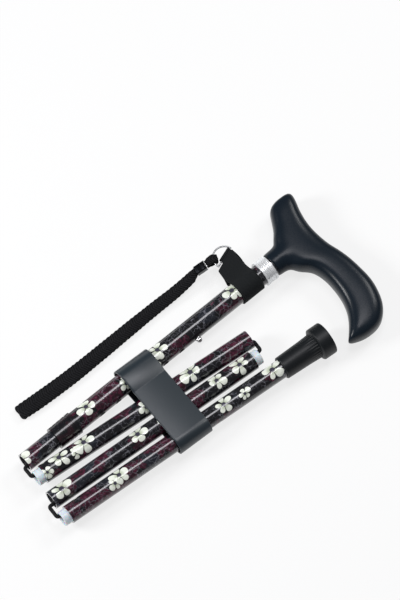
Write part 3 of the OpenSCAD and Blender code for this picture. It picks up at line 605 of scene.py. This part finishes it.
lockLook = {"wine": (0.020, 0.005, 0.010, 1), "rough": 0.26, "specular": 0.35, "coat": 0.6,
            "stain": 130.0, "stainFrom": (0.46, 0.62), "fleck": 700.0, "fleckFrom": (0.60, 0.72),
            "fleckShare": 0.16}


def lockMaterial():
    look = lockLook
    mat, skin = newMaterial("lockBlack", look["rough"], **{"Specular IOR Level": look["specular"],
                                                           "Coat Weight": look["coat"]})
    place = objectPlace(mat)
    stain = rise(mat, noise(mat, place, look["stain"]), *look["stainFrom"])
    color = mixColor(mat, stain, printLook["ground"], look["wine"])
    fleck = calc(mat, "MULTIPLY", rise(mat, noise(mat, place, look["fleck"], 4.0), *look["fleckFrom"]),
                 look["fleckShare"])
    feed(mat, skin.inputs["Base Color"], mixColor(mat, fleck, color, printLook["web"]))
    bumpUp(mat, skin, noise(mat, place, printLook["grain"]), printLook["bump"], printLook["depth"])
    return mat


def makePrints():
    for k, (node, spot) in enumerate(tubes.items()):
        low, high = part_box(node)
        radius = (high.z - low.z) / 2
        seed = printLook["firstSeed"] + printLook["seedStep"] * k
        paint(node, printMaterial("print_" + node, spot, radius, seed))
    paint("lock_collar", lockMaterial())
    print("printed tubes", len(tubes))


makePrints()


# Moulded and rubber finishes
mouldedLook = {"broad": 45.0, "dim": 0.86, "smoothest": 0.85, "roughest": 1.15, "bump": 0.12,
               "depth": 0.00015}
mouldedFinishes = {
    "handleBlack": {"color": (0.0078, 0.0138, 0.0218), "rough": 0.28, "grain": 1500.0,
                    "fixed": {"Specular IOR Level": 0.20}},
    "clipGrey": {"color": (0.016, 0.026, 0.035), "rough": 0.36, "grain": 1800.0,
                 "fixed": {"Specular IOR Level": 0.60}},
    "ferruleRubber": {"color": (0.005, 0.007, 0.009), "rough": 0.44, "grain": 1300.0,
                      "fixed": {"Specular IOR Level": 0.35}},
    "innerPlastic": {"color": (0.16, 0.16, 0.17), "rough": 0.5, "grain": 1200.0, "fixed": {}},
    "spigotWhite": {"color": (0.74, 0.82, 0.88), "rough": 0.32, "grain": 900.0,
                    "fixed": {"Subsurface Weight": 0.25, "Subsurface Scale": 0.002}},
}


def mouldedMaterial(name, color, rough, grain, fixed):
    look = mouldedLook
    mat, skin = newMaterial(name, rough, **fixed)
    place = objectPlace(mat)
    broad, fine = noise(mat, place, look["broad"]), noise(mat, place, grain, 2.0)
    dim = [c * look["dim"] for c in color]
    feed(mat, skin.inputs["Base Color"], mixColor(mat, broad, (*dim, 1), (*color, 1)))
    roughness = spread(mat, fine, rough * look["smoothest"], rough * look["roughest"])
    feed(mat, skin.inputs["Roughness"], roughness)
    bumpUp(mat, skin, fine, look["bump"], look["depth"])
    return mat


moulded = {name: mouldedMaterial(name, **look) for name, look in mouldedFinishes.items()}
print("finishes", len(chrome) + len(moulded))


# Derby handle: the CAD form drawn smooth, so that its neck flows into the grip
handleLook = {"voxel": 0.0011, "steps": 14, "neckSteps": 90, "share": 0.5, "neckUp": 0.018,
              "neckSide": -0.006, "neckSpan": 0.026}


def eased(piece, steps, group=""):    # the piece's mesh, smoothed
    ease = piece.modifiers.new("ease", "SMOOTH")
    ease.factor = handleLook["share"]
    ease.iterations = steps
    ease.vertex_group = group
    bpy.context.view_layer.update()
    ready = bpy.data.meshes.new_from_object(piece.evaluated_get(bpy.context.evaluated_depsgraph_get()))
    piece.modifiers.clear()
    piece.data = ready


def makeHandle():
    look = handleLook
    bm = mergedCopy("handle")
    bmesh.ops.recalc_face_normals(bm, faces=bm.faces)
    piece = finishMesh("derbyHandle", bm, moulded["handleBlack"])
    remesh = piece.modifiers.new("even", "REMESH")
    remesh.mode = "VOXEL"
    remesh.voxel_size = look["voxel"]
    eased(piece, look["steps"])
    low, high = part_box("collar")
    junction = (low + high) / 2 + dirA * look["neckUp"] + sideA * look["neckSide"]
    neck = piece.vertex_groups.new(name="neck")
    for vert in piece.data.vertices:
        away = (vert.co - junction).length / look["neckSpan"]
        if away < 1:
            neck.add([vert.index], (1 - away * away) ** 2, "REPLACE")
    eased(piece, look["neckSteps"], "neck")
    piece.vertex_groups.clear()
    if not piece.data.materials:
        piece.data.materials.append(moulded["handleBlack"])
    for face in piece.data.polygons:
        face.use_smooth = True
    dress(piece, "upper", "handle_black", "handle")
    print("handle faces", len(piece.data.polygons))


makeHandle()


# Round pieces on a tube's axis, spun from a profile of (along, radius)
def spunPiece(name, profile, start, angle, mat, steps=96):
    bm = bmesh.new()
    verts = [bm.verts.new((along, radius, 0)) for along, radius in profile]
    edges = [bm.edges.new(pair) for pair in zip(verts, verts[1:])]
    bmesh.ops.spin(bm, geom=verts + edges, cent=(0, 0, 0), axis=(1, 0, 0), angle=2 * math.pi,
                   steps=steps, use_merge=True)
    bmesh.ops.remove_doubles(bm, verts=bm.verts, dist=weld / 2)
    bmesh.ops.recalc_face_normals(bm, faces=bm.faces)
    place = Matrix.Translation(start) @ Matrix.Rotation(angle, 4, "Z")
    bmesh.ops.transform(bm, matrix=place, verts=bm.verts)
    return finishMesh(name, bm, mat)


# Bright collar: rolled edges and four fine beads round its middle
collarLook = {"length": 0.0105, "radius": 0.01115, "bore": 0.00925, "edge": 0.0021, "step": 0.00045,
              "beads": 4, "bead": 0.00030, "beadSteps": 8, "roll": 0.0002, "soft": 0.0001}


def makeCollar():
    look = collarLook
    low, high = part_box("collar")
    middle = (low + high) / 2
    inner = look["radius"] - look["step"]
    span = look["length"] - 2 * look["edge"]
    outer, roll, length = look["radius"], look["roll"], look["length"]
    profile = [(0, look["bore"]), (0, outer - roll), (roll, outer), (look["edge"] - roll, outer),
               (look["edge"], inner)]
    count = look["beadSteps"] * look["beads"]
    for k in range(1, count):
        swell = look["bead"] * (0.5 - 0.5 * math.cos(2 * math.pi * k * look["beads"] / count))
        profile.append((look["edge"] + span * k / count, inner + swell))
    profile += [(look["edge"] + span, inner), (look["edge"] + span + roll, outer), (length - roll, outer),
                (length, outer - roll), (length, look["bore"]), (0, look["bore"])]
    start = middle - dirA * length / 2
    piece = spunPiece("brightCollar", profile, start, heading(dirA), chrome["collarChrome"])
    softEdges(piece, look["soft"], segments=2, angle=40)
    dress(piece, "upper", "bright_metal", "collar")


makeCollar()


# Rubber ferrule: a tapered cup with lengthwise ribs by its flange, and rings in the sole
ferruleLook = {"mouth": 0.0099, "waist": 0.0108, "base": 0.01425, "flange": 0.0119, "slope": 0.0009,
               "bore": 0.00805, "boreDepth": 0.038, "edge": 0.0007, "rings": 3, "ringDepth": 0.0012,
               "ringWidth": 0.0016, "ribs": 32, "ribReach": 0.011, "ribHeight": 0.0004, "ribGap": 0.0001,
               "skin": 0.0005, "soft": 0.0003, "wallSteps": 12, "spinSteps": 192}


def makeFerrule():
    look = ferruleLook
    low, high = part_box("ferrule")
    length = high.x - low.x
    start = Vector((low.x, (low.y + high.y) / 2, (low.z + high.z) / 2))
    flange = length - look["flange"]
    waist = flange - look["slope"]
    profile = [(look["boreDepth"], 0.0), (look["boreDepth"], look["bore"]), (0, look["bore"]),
               (0, look["mouth"] - look["edge"]), (look["edge"], look["mouth"])]
    for k in range(look["wallSteps"]):
        share = (k + 1) / look["wallSteps"]
        profile.append((look["edge"] + share * (waist - look["edge"]),
                        look["mouth"] + share * (look["waist"] - look["mouth"])))
    profile += [(flange, look["base"] - look["edge"]), (flange + look["edge"], look["base"]),
                (length - look["edge"], look["base"]), (length, look["base"] - look["edge"])]
    pitch = look["base"] / (look["rings"] + 1)
    groove = length - look["ringDepth"]
    for ring in range(look["rings"], 0, -1):
        out, inn = ring * pitch + look["ringWidth"] / 2, ring * pitch - look["ringWidth"] / 2
        profile += [(length, out), (groove, out), (groove, inn), (length, inn)]
    profile.append((length, 0.0))
    piece = spunPiece("rubberFerrule", profile, start, 0.0, moulded["ferruleRubber"], look["spinSteps"])
    ribStart, ribEnd = low.x + waist - look["ribReach"], low.x + flange - look["ribGap"]
    for vert in piece.data.vertices:    # ribs swell towards the flange
        away = Vector((0, vert.co.y - start.y, vert.co.z - start.z))
        if ribStart < vert.co.x < ribEnd and away.length > look["bore"] + look["skin"]:
            share = min(1.0, (vert.co.x - ribStart) / look["ribReach"])
            wave = max(0.0, math.cos(look["ribs"] * math.atan2(away.z, away.y)))
            vert.co += away.normalized() * look["ribHeight"] * share * wave
    softEdges(piece, look["soft"], angle=35)
    dress(piece, "section_d", "ferrule_rubber", "ferrule")


makeFerrule()


# Springy clip: the CAD form with its edges eased, arched over the handle section down to a crease
clipLook = {"edge": 0.00035, "crease": 0.015, "fall": 0.0013, "arch": 0.0012, "wrap": 0.012,
            "top": 0.011, "flatHalf": 0.0156, "flatTurn": 1.0,
            "cuts": (0.0015, 0.0035, 0.0055, 0.0075, 0.0095, 0.0115, 0.0133, 0.0147, 0.0152, 0.0671)}


def cutAcross(bm, place, way):
    bmesh.ops.bisect_plane(bm, geom=bm.verts[:] + bm.edges[:] + bm.faces[:], dist=weld,
                           plane_co=place, plane_no=way)


def archLift(out):    # how far the arch stands above the CAD form, by the way out from the tube's axis
    look = clipLook
    if out < 0:
        return look["arch"] * (1 - (out / look["wrap"]) ** 2)
    share = out / look["crease"]
    return look["arch"] + look["fall"] * share - (look["arch"] + look["fall"]) * share * share


def makeClip():
    look = clipLook
    bm = mergedCopy("clip")
    flatTurn = math.radians(look["flatTurn"])
    bmesh.ops.dissolve_limit(bm, angle_limit=flatTurn, verts=bm.verts, edges=bm.edges)
    low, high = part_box("clip")
    spot = tubes["upper_tube"]
    middleX = (low.x + high.x) / 2
    drift = (middleX - spot["middle"].x) * math.tan(spot["angle"])
    start = Vector((middleX, spot["middle"].y + drift, 0))
    lengthways = flat(spot["angle"] / 2)
    across = turned(lengthways)
    for cut in look["cuts"]:
        cutAcross(bm, start - across * cut, across)
    for sign in (-1, 1):    # and close to both ends, which keeps the plate flat between them
        cutAcross(bm, start + sign * look["flatHalf"] * lengthways, lengthways)
    for vert in bm.verts:
        out, up = -(vert.co - start).dot(across), vert.co.z - axisHeight
        if up > 0 and out < look["crease"]:
            vert.co.z += max(0.0, archLift(out)) * (min(1.0, up / look["top"]) if out < 0 else 1.0)
    piece = finishMesh("springClip", bm, moulded["clipGrey"])
    softEdges(piece, look["edge"], segments=2, angle=40)
    dress(piece, "clip", "clip_grey", "clip")


makeClip()


# Elastic cord where it bends between two tube ends
elasticLook = {"radius": 0.0016, "heldBy": ("adjuster", "section_b", "section_c"), "rough": 0.75,
               "specular": 0.15, "weave": 1400.0, "pale": (0.022, 0.022, 0.024, 1),
               "dark": (0.006, 0.006, 0.007, 1), "bump": 0.5, "depth": 0.0003}


def elasticMaterial():
    look = elasticLook
    mat, skin = newMaterial("elastic", look["rough"], **{"Specular IOR Level": look["specular"]})
    weave = addNode(mat, "TexVoronoi", {"Vector": objectPlace(mat), "Scale": look["weave"]}, feature="F1")
    away = weave.outputs["Distance"]
    feed(mat, skin.inputs["Base Color"], mixColor(mat, away, look["pale"], look["dark"]))
    bumpUp(mat, skin, away, look["bump"], look["depth"])
    return mat


elastic = elasticMaterial()


def makeElastic():
    for number, upperBody in enumerate(elasticLook["heldBy"], 1):
        node = "cord_bend_%d" % number
        piece = finishMesh("elasticBend_%d" % number, mergedCopy(node), elastic)
        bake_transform(piece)
        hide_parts(node)
    print("elastic bends", len(elasticLook["heldBy"]))


makeElastic()


# Webbing band round the upper tube, sewn into a tab that holds the ring
bandLook = {"thickness": 0.0013, "join": 0.017, "reach": 0.0299, "brink": 0.0283, "turn": 18.5,
            "tubeRadius": 0.01005, "barRadius": 0.0017, "rows": 16, "half": 0.0105, "straight": 0.0120,
            "step": 0.00045, "leftWay": -0.0100, "barLeft": -0.0014, "rightWay": 0.0117,
            "barRight": 0.0110, "bulge": 0.0012, "play": 0.00005, "lip": 0.00015, "lead": 0.0016,
            "leadShares": (0.7, 0.55, 0.4, 0.25, 0.1, 0.0), "barSteps": 12, "tubeSteps": 48}
webbingLook = {"warp": 0.0009, "weft": 0.0012, "fibre": 2200.0, "fuzz": 0.4, "specular": 0.12,
               "dark": (0.004, 0.0046, 0.005, 1), "pale": (0.018, 0.0205, 0.0225, 1),
               "rough": (0.68, 0.88), "bump": 0.5, "depth": 0.0003}


def webbingMaterial():
    look = webbingLook
    mat, skin = newMaterial("webbing", look["rough"][0], **{"Specular IOR Level": look["specular"]})
    uv = addNode(mat, "SeparateXYZ", {0: addNode(mat, "UVMap", uv_map="webbingMap").outputs[0]})
    along, across = uv.outputs[:2]
    warp = calc(mat, "ABSOLUTE", calc(mat, "SINE", calc(mat, "MULTIPLY", across, math.pi / look["warp"])))
    column = calc(mat, "FLOOR", calc(mat, "DIVIDE", across, look["warp"]))
    shifted = calc(mat, "ADD", calc(mat, "MULTIPLY", along, math.pi / look["weft"]),
                   calc(mat, "MULTIPLY", column, math.pi / 2))
    weft = calc(mat, "ABSOLUTE", calc(mat, "SINE", shifted))
    fibre = noise(mat, objectPlace(mat), look["fibre"], 2.0)
    height = calc(mat, "ADD", calc(mat, "MULTIPLY", warp, weft), calc(mat, "MULTIPLY", fibre, look["fuzz"]))
    feed(mat, skin.inputs["Base Color"], mixColor(mat, height, look["dark"], look["pale"]))
    feed(mat, skin.inputs["Roughness"], spread(mat, fibre, *look["rough"]))
    bumpUp(mat, skin, height, look["bump"], look["depth"])
    return mat


webbing = webbingMaterial()


def bandPath(look):    # seen along the tube: (down, sideways) from the bar, round the tube, and back
    half = look["thickness"] / 2 + look["play"]
    join, brink, bar, radius = look["join"], look["brink"], look["barRadius"], look["tubeRadius"]
    points = []
    for k in range(look["barSteps"] + 1):    # round the bar's far side
        turn = math.pi * (k / look["barSteps"] - 0.5)
        points.append((bar * math.sin(turn), look["reach"] + bar * math.cos(turn)))
    sides = [brink + look["lip"], brink - look["step"], brink - look["lead"]]
    sides += [join + share * (brink - join) for share in look["leadShares"]]
    opening = math.atan2(half, join) + math.acos(radius / math.hypot(half, join))
    first = (radius * math.sin(opening), radius * math.cos(opening))
    lead = [(half, side) for side in sides]
    lead += [((half * 2 + first[0]) / 3, (join * 2 + first[1]) / 3),
             ((half + 2 * first[0]) / 3, (join + 2 * first[1]) / 3)]
    points += lead
    for k in range(look["tubeSteps"] + 1):
        turn = opening + 2 * (math.pi - opening) * k / look["tubeSteps"]
        points.append((radius * math.sin(turn), radius * math.cos(turn)))
    points += [(-down, side) for down, side in reversed(lead)]
    points.append(points[0])
    return points


def leanedPlace(way, side):    # from along and across the ring's bar to along the tube and sideways
    turn = math.radians(bandLook["turn"])
    beyond = side - bandLook["reach"]
    return (way * math.cos(turn) - beyond * math.sin(turn),
            bandLook["reach"] + way * math.sin(turn) + beyond * math.cos(turn))


def tabEdge(side, tubeWay, brinkWay, barWay, bulge):    # square to the tube, then out to the bar
    look = bandLook
    brink = look["brink"] - look["step"]
    if side > brink:
        return leanedPlace(barWay, side)
    share = max(0.0, (side - look["straight"]) / (brink - look["straight"]))
    corner = leanedPlace(brinkWay, brink)
    start = min(side, look["straight"])
    swell = bulge * math.sin(math.pi * share)
    return tubeWay + share * (corner[0] - tubeWay) + swell, start + share * (corner[1] - start)


def makeBand():
    look = bandLook
    path = bandPath(look)
    centre = Vector(joints["band_turn"]["pos_m"])
    bm = bmesh.new()
    along = bm.verts.layers.float.new("along")
    across = bm.verts.layers.float.new("across")
    verts = [bm.verts.new((0, 0, 0)) for point in path]
    edges = [bm.edges.new(pair) for pair in zip(verts, verts[1:])]
    rows = [verts]
    for row in range(look["rows"]):
        fresh, edges = pulledRow(bm, edges)
        rows.append(fresh)
    run = 0.0
    for k, (down, side) in enumerate(path):
        if k:
            run += math.hypot(down - path[k - 1][0], side - path[k - 1][1])
        left = tabEdge(side, -look["half"], look["leftWay"], look["barLeft"], 0.0)
        right = tabEdge(side, look["half"], look["rightWay"], look["barRight"], look["bulge"])
        for row in range(look["rows"] + 1):
            vert = rows[row][k]
            share = row / look["rows"]
            way = left[0] + (right[0] - left[0]) * share
            sideWay = left[1] + (right[1] - left[1]) * share
            vert.co = centre + dirA * way + sideA * sideWay + Vector((0, 0, -down))
            vert[along] = run
            vert[across] = way
    uv = bm.loops.layers.uv.new("webbingMap")
    for face in bm.faces:
        for loop in face.loops:
            loop[uv].uv = (loop.vert[along], loop.vert[across])
    bmesh.ops.recalc_face_normals(bm, faces=bm.faces)
    piece = finishMesh("webbingBand", bm, webbing)
    wall = piece.modifiers.new("wall", "SOLIDIFY")
    wall.thickness = look["thickness"]
    wall.offset = 0.0
    dress(piece, "band", "webbing", "strap_band")
    print("band faces", len(piece.data.polygons))


makeBand()


# Finishes of the CAD pieces that stay as they are
def paintRest():
    finishes = {
        chrome["wireChrome"]: ["strap_ring"],
        chrome["buttonSteel"]: ["button", "leaf_spring", "handle_stud", "handle_pin", "stop_top",
                                "stop_low", "ferrule_washer"],
        moulded["spigotWhite"]: ["spigot_b", "spigot_c", "spigot_d"],
        moulded["innerPlastic"]: ["handle_plug", "collet", "anchor_top", "anchor_low"],
        elastic: ["cord_a", "cord_b", "cord_c", "cord_d"],
    }
    for mat, names in finishes.items():
        for node in names:
            paint(node, mat)
    print("painted", sum(len(names) for names in finishes.values()))


paintRest()


# Floor, world and lamps
stageLook = {"floor": (0.94, 0.945, 0.95, 1), "floorRough": 0.9, "floorSpecular": 0.1, "floorHalf": 6.0,
             "paleShare": 0.77, "sky": 0.16}
lampLooks = {
    "strip": {"at": (0.22, 0.11, 1.20), "size": (0.42, 0.36), "watts": 4.2, "tint": (0.97, 0.96, 1.0)},
    "left": {"at": (-1.15, 0.62, 0.95), "size": (0.45, 0.45), "watts": 17.5, "tint": (1, 1, 1)},
    "right": {"at": (1.30, 0.20, 1.20), "size": (0.50, 0.50), "watts": 9.0, "tint": (1, 1, 1)},
}


def makeLamp(name, look):
    data = bpy.data.lights.new(name, "AREA")
    data.shape = "RECTANGLE"
    data.size, data.size_y = look["size"]
    data.energy = look["watts"]
    data.color = look["tint"]
    lamp = bpy.data.objects.new(name, data)
    lamp.location = look["at"]
    away = Vector(look["at"]).normalized()
    across = (Vector((1, 0, 0)) - away * away.x).normalized()
    lamp.rotation_euler = Matrix((across, away.cross(across), away)).transposed().to_euler()
    scene.collection.objects.link(lamp)


def makeWorld():
    world = bpy.data.worlds.new("studio")
    world.use_nodes = True
    sky = world.node_tree.nodes["Background"]
    sky.inputs["Color"].default_value = (1, 1, 1, 1)
    sky.inputs["Strength"].default_value = stageLook["sky"]
    scene.world = world


def floorMaterial():    # pale where it is looked at, with the shadow kept
    look = stageLook
    mat, skin = newMaterial("floorWhite", look["floorRough"], **{"Base Color": look["floor"],
                                                                 "Specular IOR Level": look["floorSpecular"]})
    ray = addNode(mat, "LightPath").outputs
    seen = calc(mat, "MAXIMUM", ray["Is Camera Ray"],
                calc(mat, "MAXIMUM", ray["Is Glossy Ray"], ray["Is Transmission Ray"]))
    pale = addNode(mat, "Emission", {"Color": (1, 1, 1, 1), "Strength": 1.0})
    mixed = addNode(mat, "MixShader", {0: calc(mat, "MULTIPLY", seen, look["paleShare"])})
    mat.node_tree.links.new(skin.outputs[0], mixed.inputs[1])
    mat.node_tree.links.new(pale.outputs[0], mixed.inputs[2])
    mat.node_tree.links.new(mixed.outputs[0], mat.node_tree.nodes["Material Output"].inputs["Surface"])
    return mat


def makeStage():
    bm = bmesh.new()
    bmesh.ops.create_grid(bm, x_segments=1, y_segments=1, size=stageLook["floorHalf"])
    finishMesh("floor", bm, floorMaterial(), False)
    makeWorld()
    for name, look in lampLooks.items():
        makeLamp(name, look)
    print("stage ready")


makeStage()
